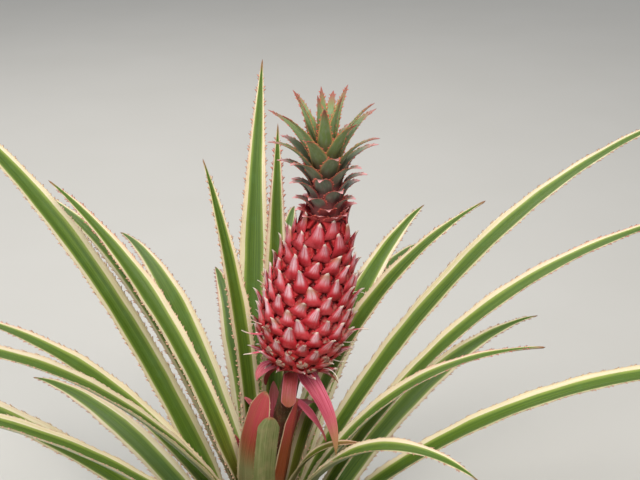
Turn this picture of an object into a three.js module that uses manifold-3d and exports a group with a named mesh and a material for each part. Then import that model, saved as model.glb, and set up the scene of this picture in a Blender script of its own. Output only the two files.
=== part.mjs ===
// A red pineapple plant with cream-edged leaves, rooted in the ground. Millimetres, +Z up, and the
// origin is the middle of the flat cut under its stem. Long channelled leaves stand in a spiral on
// a short stem. A leaning stalk rises out of their heart and carries the fruit and its leafy crown.
import * as THREE from "three";
import { ConvexGeometry } from "three/addons/geometries/ConvexGeometry.js";
import { mergeVertices } from "three/addons/utils/BufferGeometryUtils.js";
import Module from "manifold-3d";

const wasm = await Module();
wasm.setup();

const GOLDEN_ANGLE = 137.5; // degrees from each leaf or scale to the next one
const CLEARANCE = 0.3; // between two pieces that meet
const UP = new THREE.Vector3(0, 0, 1);

// The stem: radius by height, from the flat cut at the ground to the heart of the leaves
const STEM_HEIGHT = 262;
const STEM_PROFILE = [
  [0, 50],
  [12, 44],
  [34, 41],
  [90, 40],
  [140, 36],
  [200, 30],
  [STEM_HEIGHT, 20],
];
const STEM_SIDES = 32;

// The long leaves, from the lowest (share 0) to the innermost (share 1)
const LEAF_COUNT = 44;
const LOWEST_AZIMUTH = 302.5;
const LOWEST_SEAT = 38;
const HIGHEST_SEAT = 255;
const SEAT_CROWDING = 0.45; // below 1 the seats lie closer together towards the heart
const SEAT_CLIMB = 590; // the lowest seats climb no faster than this for the whole spiral
const RISE_BY_SHARE = [
  [0, 20],
  [0.16, 45],
  [0.45, 62],
  [0.8, 75],
  [1, 86],
];
const LENGTH_BY_SHARE = [
  [0, 560],
  [0.2, 780],
  [0.5, 760],
  [0.75, 500],
  [0.88, 240],
  [1, 120],
];
const WIDTH_BY_SHARE = [
  [0, 41],
  [0.7, 35],
  [1, 22],
];
const FOOT_WIDTH = 0.57; // of the full width, which the blade reaches a fifth of the way up
const TAPER = 0.42; // the share of the blade that narrows to the tip
const OPEN_DROP = 50; // the inner leaves towards -Y lie this much lower and leave the fruit in view
const BACK_SHORTER = 0.3; // and those towards +Y are shorter by this share
const CURVE_STEPS = 40;
const STEPS_PER_STATION = 5;

// Leaves that stand otherwise than the spiral's rule: turn is how far the blade turns from its seat
const LEAVES_AS_SEEN = {
  7: { turn: -8, rise: 46, arch: 52, length: 640 },
  11: { turn: -10, rise: 65, arch: 62, length: 720 },
  12: { turn: -10, rise: 60, arch: 42, length: 790 },
  16: { turn: 12, rise: 48, arch: 79, length: 800 },
  19: { turn: -14, rise: 60, arch: 57, length: 800 },
  20: { turn: -8, rise: 55, arch: 57, length: 500 },
  24: { turn: -10, rise: 66, arch: 60, length: 408 },
  28: { turn: 12, rise: 59 },
  29: { turn: -1, rise: 65, arch: 86, length: 325 },
  30: { turn: -11, rise: 65, arch: -1, length: 542, sweep: -16 },
  32: { turn: 1, rise: 76, arch: 52, length: 455 },
  33: { turn: -14, rise: 68, arch: 46, length: 475 },
  34: { turn: -20, rise: 54, length: 300, width: 24 },
  35: { turn: 10, rise: 79, arch: 5, length: 450 },
  36: { turn: 30, rise: 80, arch: -30, tilt: 18, length: 168, width: 31, taper: 0.16 },
  37: { turn: -10, rise: 76, arch: 76, length: 150, width: 18 },
  38: { turn: 2, rise: 87, arch: 20, length: 415 },
  39: { turn: 4, rise: 82, arch: -10, tilt: 9, length: 130, width: 25, taper: 0.12 },
  40: { turn: -4, rise: 82, length: 122, width: 19 },
  41: { turn: -25, rise: 86, length: 78, width: 17 },
  42: { turn: -2, rise: 80, arch: -4, tilt: 9, length: 142, width: 24, taper: 0.22 },
  43: { rise: 89, arch: 4, length: 90, width: 16 },
};

// The stalk leans away from the stem's top and carries the fruit
const STALK_TOP = new THREE.Vector3(36, 0, 430);
const STALK_RADII = [13, 10];
const STALK_SIDES = 14;
const FRUIT_LEAN = 11; // degrees towards +X

// Bracts on the stalk: the foot lies this far below the fruit, the rest is as for a leaf
const STALK_BRACTS = [
  { below: 106, azimuth: 96, rise: 68, arch: 14, length: 66, width: 24 },
  { below: 94, azimuth: 158, rise: 62, arch: 30, length: 52, width: 20 },
  { below: 70, azimuth: 28, rise: 40, arch: 80, length: 38, width: 18 },
  { below: 43, azimuth: 326, rise: -26, arch: 44, length: 62, width: 11 },
];
const COLLAR_BRACTS = [
  { below: 6, azimuth: 317, rise: -36, arch: 58, length: 114, width: 31, taper: 1 },
  { below: 9, azimuth: 262, rise: -22, arch: 60, length: 42, width: 17, taper: 0.16 },
  { below: 6, azimuth: 200, rise: 26, arch: 112, length: 44, width: 22, taper: 0.4 },
  { below: 13, azimuth: 130, rise: -20, arch: 60, length: 62, width: 20 },
  { below: 8, azimuth: 66, rise: -16, arch: 62, length: 74, width: 20 },
  { below: 13, azimuth: 2, rise: 8, arch: 70, length: 48, width: 9 },
];

// The fruit: radius by share of its length
const FRUIT_LENGTH = 184;
const FRUIT_PROFILE = [
  [0, 25],
  [0.025, 36],
  [0.09, 43.5],
  [0.285, 50.5],
  [0.58, 45.5],
  [0.84, 33.5],
  [1, 21],
];
const FRUIT_SIDES = 18;
const EYE_COUNT = 138;
const EYE_ANGLE = -137.45; // degrees from each eye to the next one, so that they wind the other way
const FIRST_EYE = 125.75;
const EYE_SPREAD = 13; // half the width of an eye
const BRACT_REACH = 9; // how far the tip of an eye's bract stands off the fruit

// The crown: radius of its core by height, and its scale leaves from the lowest to the innermost
const CROWN_LEAN = 1; // degrees towards -X
const CROWN_CORE = [
  [-6, 18],
  [22, 19],
  [58, 15],
  [84, 7],
];
const CROWN_SIDES = 10;
const CROWN_LEAF_COUNT = 42;
const CROWN_SEATS = [0, 80]; // heights of the lowest and the highest scale's foot
const CROWN_LENGTH = [
  [0, 24],
  [0.25, 36],
  [0.5, 60],
  [0.75, 80],
  [0.9, 74],
  [1, 60],
];
const CROWN_RISE = [
  [0, 62],
  [0.3, 70],
  [0.6, 62],
  [0.85, 68],
  [1, 86],
];
const CROWN_ARCH = [
  [0, 70],
  [0.3, 80],
  [0.6, 56],
  [0.85, 30],
  [1, 8],
];
const CROWN_HALF_WIDTH = [
  [0, 8.5],
  [0.3, 10],
  [0.7, 10],
  [1, 7],
];

const degrees = THREE.MathUtils.degToRad;

// The value at x on the straight lines through [x, value] pairs.
function along(pairs, x) {
  const next = pairs.findIndex(([at]) => at >= x);
  if (next <= 0) return next === 0 ? pairs[0][1] : pairs.at(-1)[1];
  const [x0, y0] = pairs[next - 1];
  const [x1, y1] = pairs[next];
  return y0 + ((y1 - y0) * (x - x0)) / (x1 - x0);
}

function smooth(x) {
  return THREE.MathUtils.smoothstep(x, 0, 1);
}

function toSolid(geometry) {
  const bare = geometry.index ? geometry.toNonIndexed() : geometry.clone();
  const merged = mergeVertices(
    new THREE.BufferGeometry().setAttribute("position", bare.getAttribute("position")),
    1e-3,
  );
  return new wasm.Manifold(
    new wasm.Mesh({
      numProp: 3,
      vertProperties: new Float32Array(merged.attributes.position.array),
      triVerts: new Uint32Array(merged.index.array),
    }),
  );
}

// The one body of a joined solid, without the slivers that the joining leaves.
function oneBody(solid) {
  return solid.decompose().sort((a, b) => b.volume() - a.volume())[0].simplify(0.02);
}

function toGeometry(solid) {
  const mesh = solid.getMesh();
  return new THREE.BufferGeometry()
    .setAttribute("position", new THREE.BufferAttribute(mesh.vertProperties, 3))
    .setIndex(new THREE.BufferAttribute(mesh.triVerts, 1));
}

// A closed body through rings of equal length, the last of them a single point or a flat end.
function loft(rings) {
  const positions = rings.flat().flatMap((p) => [p.x, p.y, p.z]);
  const count = rings[0].length;
  const faces = [];
  const start = (k) => k * count;
  for (let k = 0; k + 1 < rings.length; k++)
    for (let j = 0; j < count; j++) {
      const a = start(k) + j;
      const b = start(k) + ((j + 1) % count);
      if (rings[k + 1].length === 1) faces.push(a, b, start(k + 1));
      else faces.push(a, b, b + count, a, b + count, a + count);
    }
  for (let j = 1; j + 1 < count; j++) {
    faces.push(0, j + 1, j);
    if (rings.at(-1).length > 1) {
      const last = start(rings.length - 1);
      faces.push(last, last + j, last + j + 1);
    }
  }
  return new THREE.BufferGeometry()
    .setAttribute("position", new THREE.Float32BufferAttribute(positions, 3))
    .setIndex(faces);
}

function turned(profile, sides) {
  const points = profile.map(([z, r]) => new THREE.Vector2(r, z));
  const closed = [new THREE.Vector2(0, points[0].y), ...points, new THREE.Vector2(0, points.at(-1).y)];
  return new THREE.LatheGeometry(closed, sides).rotateX(Math.PI / 2);
}

const finishes = {
  leaf: { color: 0x5c8a3c, roughness: 0.55 },
  stem: { color: 0x7c7048, roughness: 0.9 },
  bract: { color: 0xb9475a, roughness: 0.6 },
  fruit: { color: 0xc23b50, roughness: 0.6 },
  crown: { color: 0x4c6f5a, roughness: 0.6 },
};

function named(name, geometry, finish) {
  const material = new THREE.MeshStandardMaterial({ ...finishes[finish], metalness: 0 });
  const mesh = new THREE.Mesh(geometry, material);
  mesh.name = name;
  return mesh;
}

// The curve of a leaf, bract or scale, as frames at even steps. It leaves its seat at rise degrees
// above level and loses arch degrees of that by its tip, mostly late. Its heading starts at azimuth,
// turns by turn in the first fifth and by sweep over the whole length. The blade leans in its own
// plane by tilt towards the tip.
function bladeCurve({ seat, azimuth, rise, arch, length, turn = 0, sweep = 0, tilt = 0 }) {
  const frames = [];
  const place = seat.clone();
  const aim = (s) => {
    const climb = degrees(rise - arch * s ** 1.5);
    const heading = degrees(azimuth + turn * smooth(s / 0.2) + sweep * s);
    const level = new THREE.Vector3(Math.cos(heading), Math.sin(heading), 0);
    const tangent = level.clone().multiplyScalar(Math.cos(climb)).addScaledVector(UP, Math.sin(climb));
    const across = new THREE.Vector3().crossVectors(UP, level);
    const inward = new THREE.Vector3().crossVectors(tangent, across);
    const lean = degrees(tilt * s);
    return { tangent: tangent.applyAxisAngle(inward, lean), across: across.applyAxisAngle(inward, lean), inward };
  };
  for (let k = 0; k <= CURVE_STEPS; k++) {
    const s = k / CURVE_STEPS;
    frames.push({ s, place: place.clone(), ...aim(s) });
    place.addScaledVector(aim(s + 0.5 / CURVE_STEPS).tangent, length / CURVE_STEPS);
  }
  return frames;
}

// A channelled blade along such a curve: six points a ring, the edges raised towards the inward
// side, the middle thickest, the tip a point.
function blade(curve, { halfWidth, channel, thickness, steps = STEPS_PER_STATION }) {
  const stations = curve.filter((_, k) => k % steps === 0);
  return loft(
    stations.map(({ s, place, across, inward }) => {
      if (s === 1) return [place];
      const half = halfWidth(s);
      const lift = channel(s) * half;
      const middle = thickness(s);
      const at = (x, y) => place.clone().addScaledVector(across, x).addScaledVector(inward, y);
      return [
        at(-half, lift + 0.15 * middle),
        at(-half, lift - 0.15 * middle),
        at(0, -0.65 * middle),
        at(half, lift - 0.15 * middle),
        at(half, lift + 0.15 * middle),
        at(0, 0.35 * middle),
      ];
    }),
  );
}

// A point on the stalk's middle line, and its direction there: s is 0 on the stem and 1 at the fruit.
const fruitAxis = new THREE.Vector3(Math.sin(degrees(FRUIT_LEAN)), 0, Math.cos(degrees(FRUIT_LEAN)));
const stalkLine = new THREE.QuadraticBezierCurve3(
  new THREE.Vector3(0, 0, STEM_HEIGHT + CLEARANCE),
  STALK_TOP.clone().addScaledVector(fruitAxis, -100),
  STALK_TOP.clone().addScaledVector(fruitAxis, -CLEARANCE),
);

function stalkRadius(s) {
  return THREE.MathUtils.lerp(...STALK_RADII, s);
}

function stalk(grow = 0) {
  const rings = [];
  for (let k = 0; k <= 8; k++) {
    const s = k / 8;
    const middle = stalkLine.getPoint(s);
    const axis = k === 0 ? UP : stalkLine.getTangent(s);
    const side = new THREE.Vector3(0, 1, 0).cross(axis).normalize();
    const ring = [];
    for (let j = 0; j < STALK_SIDES; j++) {
      const angle = (2 * Math.PI * j) / STALK_SIDES;
      ring.push(
        middle
          .clone()
          .addScaledVector(side, (stalkRadius(s) + grow) * Math.cos(angle))
          .add(new THREE.Vector3(0, (stalkRadius(s) + grow) * Math.sin(angle), 0)),
      );
    }
    rings.push(ring);
  }
  return loft(rings);
}

function stemRadius(height) {
  return along(STEM_PROFILE, height);
}

function stem() {
  return turned(STEM_PROFILE, STEM_SIDES);
}

// How leaf number i grows, by the spiral's rule.
function leafGrowth(i) {
  const share = i / (LEAF_COUNT - 1);
  const azimuth = LOWEST_AZIMUTH + GOLDEN_ANGLE * i;
  const open = smooth((-Math.sin(degrees(azimuth)) - 0.2) / 0.6) * share;
  const back = smooth(Math.sin(degrees(azimuth)));
  return {
    azimuth,
    seatHeight: Math.min(
      LOWEST_SEAT + (HIGHEST_SEAT - LOWEST_SEAT) * share ** SEAT_CROWDING,
      LOWEST_SEAT + SEAT_CLIMB * share,
    ),
    rise: along(RISE_BY_SHARE, share) - OPEN_DROP * open - 8 * back + 2 * Math.sin(2.3 * i),
    arch: 32 - 16 * share + 34 * Math.sin(Math.PI * share) + 10 * open + 8 * back + 4 * Math.sin(4.1 * i),
    length: along(LENGTH_BY_SHARE, share) * (1 - BACK_SHORTER * back) * (1 + 0.05 * Math.sin(3.3 * i)),
    width: along(WIDTH_BY_SHARE, share),
    turn: 0,
    taper: TAPER,
    sweep: 6 * Math.sin(1.7 * i),
    ...LEAVES_AS_SEEN[i],
  };
}

function leaf(i, stemSolid) {
  const g = leafGrowth(i);
  const middle = g.length / 100;
  const climb = degrees(g.rise);
  const reach = stemRadius(g.seatHeight) + CLEARANCE + 0.35 * middle * Math.sin(climb);
  const heading = degrees(g.azimuth);
  const outward = new THREE.Vector3(Math.cos(heading), Math.sin(heading), 0);
  const tuck = 5; // the foot runs back into the stem by this and is cut to the stem's round
  const seat = outward
    .clone()
    .multiplyScalar(reach - tuck * Math.cos(climb))
    .addScaledVector(UP, g.seatHeight - tuck * Math.sin(climb));
  const curve = bladeCurve({ ...g, seat, length: g.length + tuck });
  const geometry = blade(curve, {
    halfWidth: (s) =>
      (g.width / 2) *
      (FOOT_WIDTH + (1 - FOOT_WIDTH) * smooth(s / 0.2)) *
      Math.min(1, ((1 - s) / g.taper) ** 0.8),
    channel: (s) => 0.08 + 0.22 * smooth(s / 0.15),
    thickness: (s) => middle * (1 - 0.5 * s * s),
  });
  return toGeometry(toSolid(geometry).subtract(stemSolid));
}

// A bract whose foot sits on the stalk at s and is cut to the stalk's round.
function bract(form, stalkSolid) {
  const s = 1 - form.below / stalkLine.getLength();
  const middle = Math.max(form.length / 100, 1.6);
  const heading = degrees(form.azimuth);
  const outward = new THREE.Vector3(Math.cos(heading), Math.sin(heading), 0);
  const seat = stalkLine.getPoint(s).addScaledVector(outward, stalkRadius(s) - 3);
  const geometry = blade(bladeCurve({ ...form, seat, length: form.length + 3 }), {
    halfWidth: (t) =>
      (form.width / 2) *
      (0.5 + 0.5 * smooth(t / 0.15)) *
      Math.min(1, ((1 - t) / (form.taper ?? 0.6)) ** 0.7),
    channel: () => 0.25,
    thickness: () => middle,
  });
  return toGeometry(toSolid(geometry).subtract(stalkSolid));
}

// The body of the fruit and its pointed eyes as one solid, upright over its own foot.
function fruit() {
  const profile = FRUIT_PROFILE.map(([at, r]) => [at * FRUIT_LENGTH, r]);
  const radius = (z) => along(profile, z);
  const body = toSolid(turned(profile, FRUIT_SIDES));
  const eyes = [];
  for (let k = 0; k < EYE_COUNT; k++) {
    const z = FRUIT_LENGTH * eyeHeight((k + 0.5) / EYE_COUNT);
    const size = EYE_SPREAD * (0.72 + 0.28 * smooth((radius(z) - 20) / 28));
    const eye = new THREE.Group();
    const slope = Math.atan2(radius(z - 4) - radius(z + 4), 8);
    const corners = [
      [-2, -size, 0],
      [-2, size, 0],
      [-2, 0, -0.9 * size],
      [-2, 0, 0.9 * size],
      [BRACT_REACH, 0, 0.9 * size],
    ].map(([x, y, up]) => new THREE.Vector3(x, y, up));
    eye.position.set(radius(z), 0, z);
    eye.rotation.y = -slope;
    eye.updateMatrix();
    const turnedEye = new ConvexGeometry(corners)
      .applyMatrix4(eye.matrix)
      .rotateZ(degrees(FIRST_EYE + EYE_ANGLE * k));
    eyes.push(toSolid(turnedEye));
  }
  return oneBody(wasm.Manifold.union([body, ...eyes]).trimByPlane([0, 0, -1], -FRUIT_LENGTH));
}

// The share of the fruit's length below which the share u of its eyes sit: equal room for each eye.
function eyeHeight(u) {
  const steps = 200;
  const room = [0];
  for (let k = 0; k < steps; k++) room.push(room[k] + along(FRUIT_PROFILE, (k + 0.5) / steps) + 4);
  return along(
    room.map((sum, k) => [sum / room[steps], k / steps]),
    u,
  );
}

// The core of the crown and its scale leaves as one solid, upright over its own foot.
function crown() {
  const parts = [toSolid(turned(CROWN_CORE, CROWN_SIDES))];
  for (let k = 0; k < CROWN_LEAF_COUNT; k++) {
    const share = k / (CROWN_LEAF_COUNT - 1);
    const azimuth = GOLDEN_ANGLE * k;
    const height = THREE.MathUtils.lerp(...CROWN_SEATS, share);
    const heading = degrees(azimuth);
    const seat = new THREE.Vector3(Math.cos(heading), Math.sin(heading), 0)
      .multiplyScalar(along(CROWN_CORE, height) - 3)
      .addScaledVector(UP, height);
    const curve = bladeCurve({
      seat,
      azimuth,
      rise: along(CROWN_RISE, share),
      arch: along(CROWN_ARCH, share),
      length: along(CROWN_LENGTH, share),
    });
    const scale = blade(curve, {
      halfWidth: (s) => along(CROWN_HALF_WIDTH, share) * Math.min(1, ((1 - s) / 0.7) ** 0.75),
      channel: () => 0.25,
      thickness: () => 2,
      steps: 10,
    });
    parts.push(toSolid(scale));
  }
  return wasm.Manifold.union(parts);
}

const plant = new THREE.Group();
plant.name = "pineapple_plant";
plant.add(named("main_stem", stem(), "stem"));

const grownStem = toSolid(
  turned(
    [...STEM_PROFILE, [STEM_HEIGHT + CLEARANCE, STEM_PROFILE.at(-1)[1]]].map(([z, r]) => [z, r + CLEARANCE]),
    STEM_SIDES,
  ),
);
for (let i = 0; i < LEAF_COUNT; i++) {
  const number = String(i + 1).padStart(2, "0");
  plant.add(named(`leaf_${number}`, leaf(i, grownStem), "leaf"));
}

plant.add(named("flower_stalk", stalk(), "bract"));
const grownStalk = toSolid(stalk(CLEARANCE));
STALK_BRACTS.forEach((form, k) => {
  plant.add(named(`stalk_bract_${k + 1}`, bract(form, grownStalk), "bract"));
});
COLLAR_BRACTS.forEach((form, k) => {
  plant.add(named(`collar_bract_${k + 1}`, bract(form, grownStalk), "bract"));
});

const fruitMesh = named("fruit", toGeometry(fruit()), "fruit");
fruitMesh.position.copy(STALK_TOP);
fruitMesh.rotation.y = degrees(FRUIT_LEAN);
plant.add(fruitMesh);

// The crown's foot is cut along the leaning top of the fruit.
const crownFoot = fruitAxis.clone().applyAxisAngle(new THREE.Vector3(0, 1, 0), degrees(CROWN_LEAN));
const crownMesh = named("crown", toGeometry(oneBody(crown().trimByPlane(crownFoot.toArray(), 0))), "crown");
crownMesh.position.copy(STALK_TOP).addScaledVector(fruitAxis, FRUIT_LENGTH + CLEARANCE);
crownMesh.rotation.y = degrees(-CROWN_LEAN);
plant.add(crownMesh);

export default plant;
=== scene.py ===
import bpy
import numpy as np
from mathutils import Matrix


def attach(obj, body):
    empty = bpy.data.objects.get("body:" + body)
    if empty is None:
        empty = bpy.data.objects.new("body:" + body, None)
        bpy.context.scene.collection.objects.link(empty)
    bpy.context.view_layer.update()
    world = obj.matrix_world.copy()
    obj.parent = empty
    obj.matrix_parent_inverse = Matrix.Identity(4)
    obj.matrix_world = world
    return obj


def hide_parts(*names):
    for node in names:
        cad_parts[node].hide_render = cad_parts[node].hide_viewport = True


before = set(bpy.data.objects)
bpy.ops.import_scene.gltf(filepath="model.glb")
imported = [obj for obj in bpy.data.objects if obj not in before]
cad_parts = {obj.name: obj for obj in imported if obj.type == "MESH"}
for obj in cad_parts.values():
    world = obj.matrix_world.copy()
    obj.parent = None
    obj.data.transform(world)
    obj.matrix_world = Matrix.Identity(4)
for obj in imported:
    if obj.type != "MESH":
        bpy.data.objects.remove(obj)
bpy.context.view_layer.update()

# Main stem: the short woody trunk that the leaves stand on, flared at the ground and cut flat.
# It is grey-brown and fibrous, and old leaf bases have left close ledges that climb round it.

MM = 0.001
UP = np.array([0.0, 0.0, 1.0])
GOLDEN_ANGLE = 137.5  # degrees from each leaf, stub or crown scale to the next one
STEM_HEIGHT = 262 * MM
STEM_PROFILE = [  # heights and radii in mm
    (0, 50), (12, 44), (34, 41), (90, 40), (140, 36), (200, 30), (262, 20),
]
LEDGE_PITCH = 8.7 * MM
LEDGE_DEPTH = 1.7 * MM
LUMP_HEIGHT = 0.9 * MM
STEM_TRIM = 0.8 * MM  # taken off under the ledges
FLAT_FOOT = 9 * MM


def smooth(x):
    """The smooth step: 0 below 0, 1 above 1, and 3x² − 2x³ between."""
    x = np.clip(x, 0, 1)
    return x * x * (3 - 2 * x)


def along(pairs, x):
    """The value at x on the straight lines through (x, value) pairs."""
    return np.interp(x, *np.array(pairs, float).T)


def stem_radius(height):
    """The stem's radius at a height, both in metres, on the source's straight profile."""
    return along(STEM_PROFILE, height / MM) * MM


def round_grid(sides, rows, low, high):
    """Angles round a skin and places along it from low to high, as two grids of rows."""
    return np.meshgrid(np.arange(sides) * 2 * np.pi / sides, np.linspace(low, high, rows))


def turned(a, z, r):
    """Points at angle a and height z: (r cos a, r sin a, z)."""
    return np.stack([r * np.cos(a), r * np.sin(a), z], -1)


def ring_faces(rows, ring):
    """Four-cornered faces between rows of closed rings, wound to face out of a counterclockwise
    ring that climbs."""
    k, j = np.meshgrid(np.arange(rows - 1), np.arange(ring), indexing="ij")
    here, beside = k * ring + j, k * ring + (j + 1) % ring
    return np.stack([here, beside, beside + ring, here + ring], -1).reshape(-1, 4)


def fan_faces(ring, first, pole, flipped):
    """Triangles from a closed ring to one pole point."""
    j = np.arange(ring)
    a, b = first + j, first + (j + 1) % ring
    c = np.full(ring, pole)
    return np.stack([a, c, b] if flipped else [a, b, c], -1)


def capped(grid, low, high):
    """Points and faces of a closed skin: rings that climb, and a middle point at each end."""
    rows, ring = grid.shape[:2]
    caps = [
        fan_faces(ring, 0, rows * ring, flipped=True),
        fan_faces(ring, (rows - 1) * ring, rows * ring + 1, flipped=False),
    ]
    points = np.vstack([grid.reshape(-1, 3), [low, high]])
    return points, [ring_faces(rows, ring), np.vstack(caps)]


def lay_mesh(name, points, faces, attributes=None, uv=None):
    """A piece from its points and from arrays of three- and four-cornered faces. attributes are
    named vectors at the points, and uv has a place for each corner in the faces' order."""
    mesh = bpy.data.meshes.new(name)
    corners = np.concatenate([f.ravel() for f in faces]).astype(np.int32)
    sizes = np.concatenate([np.full(len(f), f.shape[1]) for f in faces])
    mesh.vertices.add(len(points))
    mesh.vertices.foreach_set("co", np.asarray(points, np.float32).ravel())
    mesh.loops.add(len(corners))
    mesh.loops.foreach_set("vertex_index", corners)
    mesh.polygons.add(len(sizes))
    mesh.polygons.foreach_set("loop_start", (np.cumsum(sizes) - sizes).astype(np.int32))
    mesh.polygons.foreach_set("use_smooth", np.full(len(sizes), True))
    if uv is not None:
        layer = mesh.uv_layers.new(name="OFBake")
        layer.uv.foreach_set("vector", np.asarray(uv, np.float32).ravel())
    for key, values in (attributes or {}).items():
        layer = mesh.attributes.new(key, "FLOAT_VECTOR", "POINT")
        layer.data.foreach_set("vector", np.asarray(values, np.float32).ravel())
    mesh.update(calc_edges=True)
    mesh.validate()
    piece = bpy.data.objects.new(name, mesh)
    bpy.context.scene.collection.objects.link(piece)
    return piece


def paint(red, green, blue):
    """A colour as seen, 0 to 255, as the linear colour that a shader takes."""
    c = np.array([red, green, blue]) / 255
    linear = np.where(c <= 0.04045, c / 12.92, ((c + 0.055) / 1.055) ** 2.4)
    return (*[float(v) for v in linear], 1.0)


class Finish:
    """A material, with short ways to build its pattern from shader nodes."""

    def __init__(self, name, roughness, specular=0.5):
        self.material = bpy.data.materials.new(name)
        self.material.use_nodes = True
        self.tree = self.material.node_tree
        self.shader = self.tree.nodes["Principled BSDF"]
        self.shader.inputs["Roughness"].default_value = roughness
        self.shader.inputs["Specular IOR Level"].default_value = specular

    def node(self, kind, inputs=None, **settings):
        """A shader node. Each input is a number, a colour or another node's output."""
        made = self.tree.nodes.new("ShaderNode" + kind)
        for key, value in settings.items():
            setattr(made, key, value)
        for key, value in (inputs or {}).items():
            if isinstance(value, bpy.types.NodeSocket):
                self.tree.links.new(value, made.inputs[key])
            else:
                made.inputs[key].default_value = value
        return made

    def place(self):
        """The object's own coordinates."""
        return self.node("TexCoord").outputs["Object"]

    def marks(self, name):
        """A vector that lay_mesh stored at the points."""
        return self.node("Attribute", attribute_name=name).outputs["Vector"]

    def split(self, vector):
        """The three parts of a vector."""
        return self.node("SeparateXYZ", {0: vector}).outputs

    def math(self, operation, a, b=0.0):
        """One sum or comparison of two numbers."""
        return self.node("Math", {0: a, 1: b}, operation=operation).outputs[0]

    def times(self, a, b):
        return self.math("MULTIPLY", a, b)

    def add(self, a, b):
        return self.math("ADD", a, b)

    def rest(self, a):
        """What is left of 1."""
        return self.math("SUBTRACT", 1.0, a)

    def step(self, value, low, high):
        """The smooth step from 0 at low to 1 at high."""
        ends = {"Value": value, 1: low, 2: high}
        return self.node("MapRange", ends, interpolation_type="SMOOTHSTEP").outputs[0]

    def mix(self, share, a, b):
        """Colour a turning into colour b by a share. A tuple is a colour as seen, 0 to 255."""
        a, b = [paint(*c) if isinstance(c, tuple) else c for c in (a, b)]
        return self.node("Mix", {0: share, 6: a, 7: b}, data_type="RGBA").outputs[2]

    def over(self, under, value, low, high, colour, most=1.0):
        """A colour laid over another one as value goes from low to high, by most at the end."""
        return self.mix(self.times(self.step(value, low, high), most), under, colour)

    def noise(self, vector, scale, detail=3.0):
        """Cloudy noise from 0 to 1 at a scale per metre."""
        inputs = {"Vector": vector, "Scale": scale, "Detail": detail, "Roughness": 0.55}
        return self.node("TexNoise", inputs).outputs["Fac"]

    def streaks(self, vector, scale, detail, size=1.0):
        """Noise whose coordinates are first multiplied by a scale in each direction."""
        mapped = self.node("Mapping", {"Vector": vector, "Scale": scale}).outputs[0]
        return self.noise(mapped, size, detail)

    def coat(self, colour, height=None, strength=0.0, distance=0.0):
        """Lays the pattern's colour on the shader, with its fine height as a bump."""
        self.tree.links.new(colour, self.shader.inputs["Base Color"])
        if height is not None:
            inputs = {"Height": height, "Strength": strength, "Distance": distance}
            bump = self.node("Bump", inputs).outputs[0]
            self.tree.links.new(bump, self.shader.inputs["Normal"])


def dress(piece, finish, slot, *nodes):
    """Gives a piece its finish, hangs it under the root and hides the solids it stands for."""
    piece.data.materials.append(finish.material)
    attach(piece, "root")
    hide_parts(*nodes)


def stem_surface(a, z):
    """The profile's radius, plus ledges whose height falls along each turn of one spiral, plus
    slow lumps from three sines, all fading out at the flat foot."""
    turn = (z / LEDGE_PITCH + a / (2 * np.pi)) % 1
    ledge = LEDGE_DEPTH * (1 - turn) ** 1.6 * smooth(turn / 0.12)
    lumps = np.sin(3 * a + 140 * z) + np.sin(5 * a - 90 * z + 1) + 0.6 * np.sin(8 * a + 260 * z)
    fade = smooth(z / FLAT_FOOT)
    return stem_radius(z) + fade * (ledge + LUMP_HEIGHT * lumps - STEM_TRIM)


a, z = round_grid(128, 190, 0, STEM_HEIGHT)
points, faces = capped(turned(a, z, stem_surface(a, z)), [0, 0, 0], [0, 0, STEM_HEIGHT])
f = Finish("old_leaf_base_wood", 0.9)
place = f.place()
fibre = f.streaks(place, (1, 1, 0.12), 6, size=900)
blotch = f.noise(place, 38)
bark = f.mix(f.step(blotch, 0.35, 0.7), (92, 74, 50), (148, 128, 92))
bark = f.over(bark, fibre, 0.35, 0.75, (60, 44, 28))
f.coat(bark, fibre, 0.7, 0.0012)
dress(lay_mesh("trunk_with_ledges", points, faces), f, "stem", "main_stem")

# Leaves: long stiff sword leaves in one spiral, channelled along the middle, with clasping feet,
# a green middle band, ivory margins flushed pink, and small forward spines along both edges.

LEAF_COUNT = 44
LOWEST_AZIMUTH = 302.5
LOWEST_SEAT = 38  # mm up the stem
HIGHEST_SEAT = 255
SEAT_CROWDING = 0.45  # power of the share, so that seats crowd towards the top
SEAT_CLIMB = 590  # times the share: the most that a seat lies above the lowest
RISE_BY_SHARE = [(0, 20), (0.16, 45), (0.45, 62), (0.8, 75), (1, 86)]
LENGTH_BY_SHARE = [(0, 560), (0.2, 780), (0.5, 760), (0.75, 500), (0.88, 240), (1, 120)]
WIDTH_BY_SHARE = [(0, 41), (0.7, 35), (1, 22)]
FOOT_WIDTH = 0.57  # of the whole width
TAPER = 0.42  # share of the length that narrows to the tip
OPEN_DROP = 50  # degrees that upper leaves at the front lie lower
BACK_SHORTER = 0.3
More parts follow.
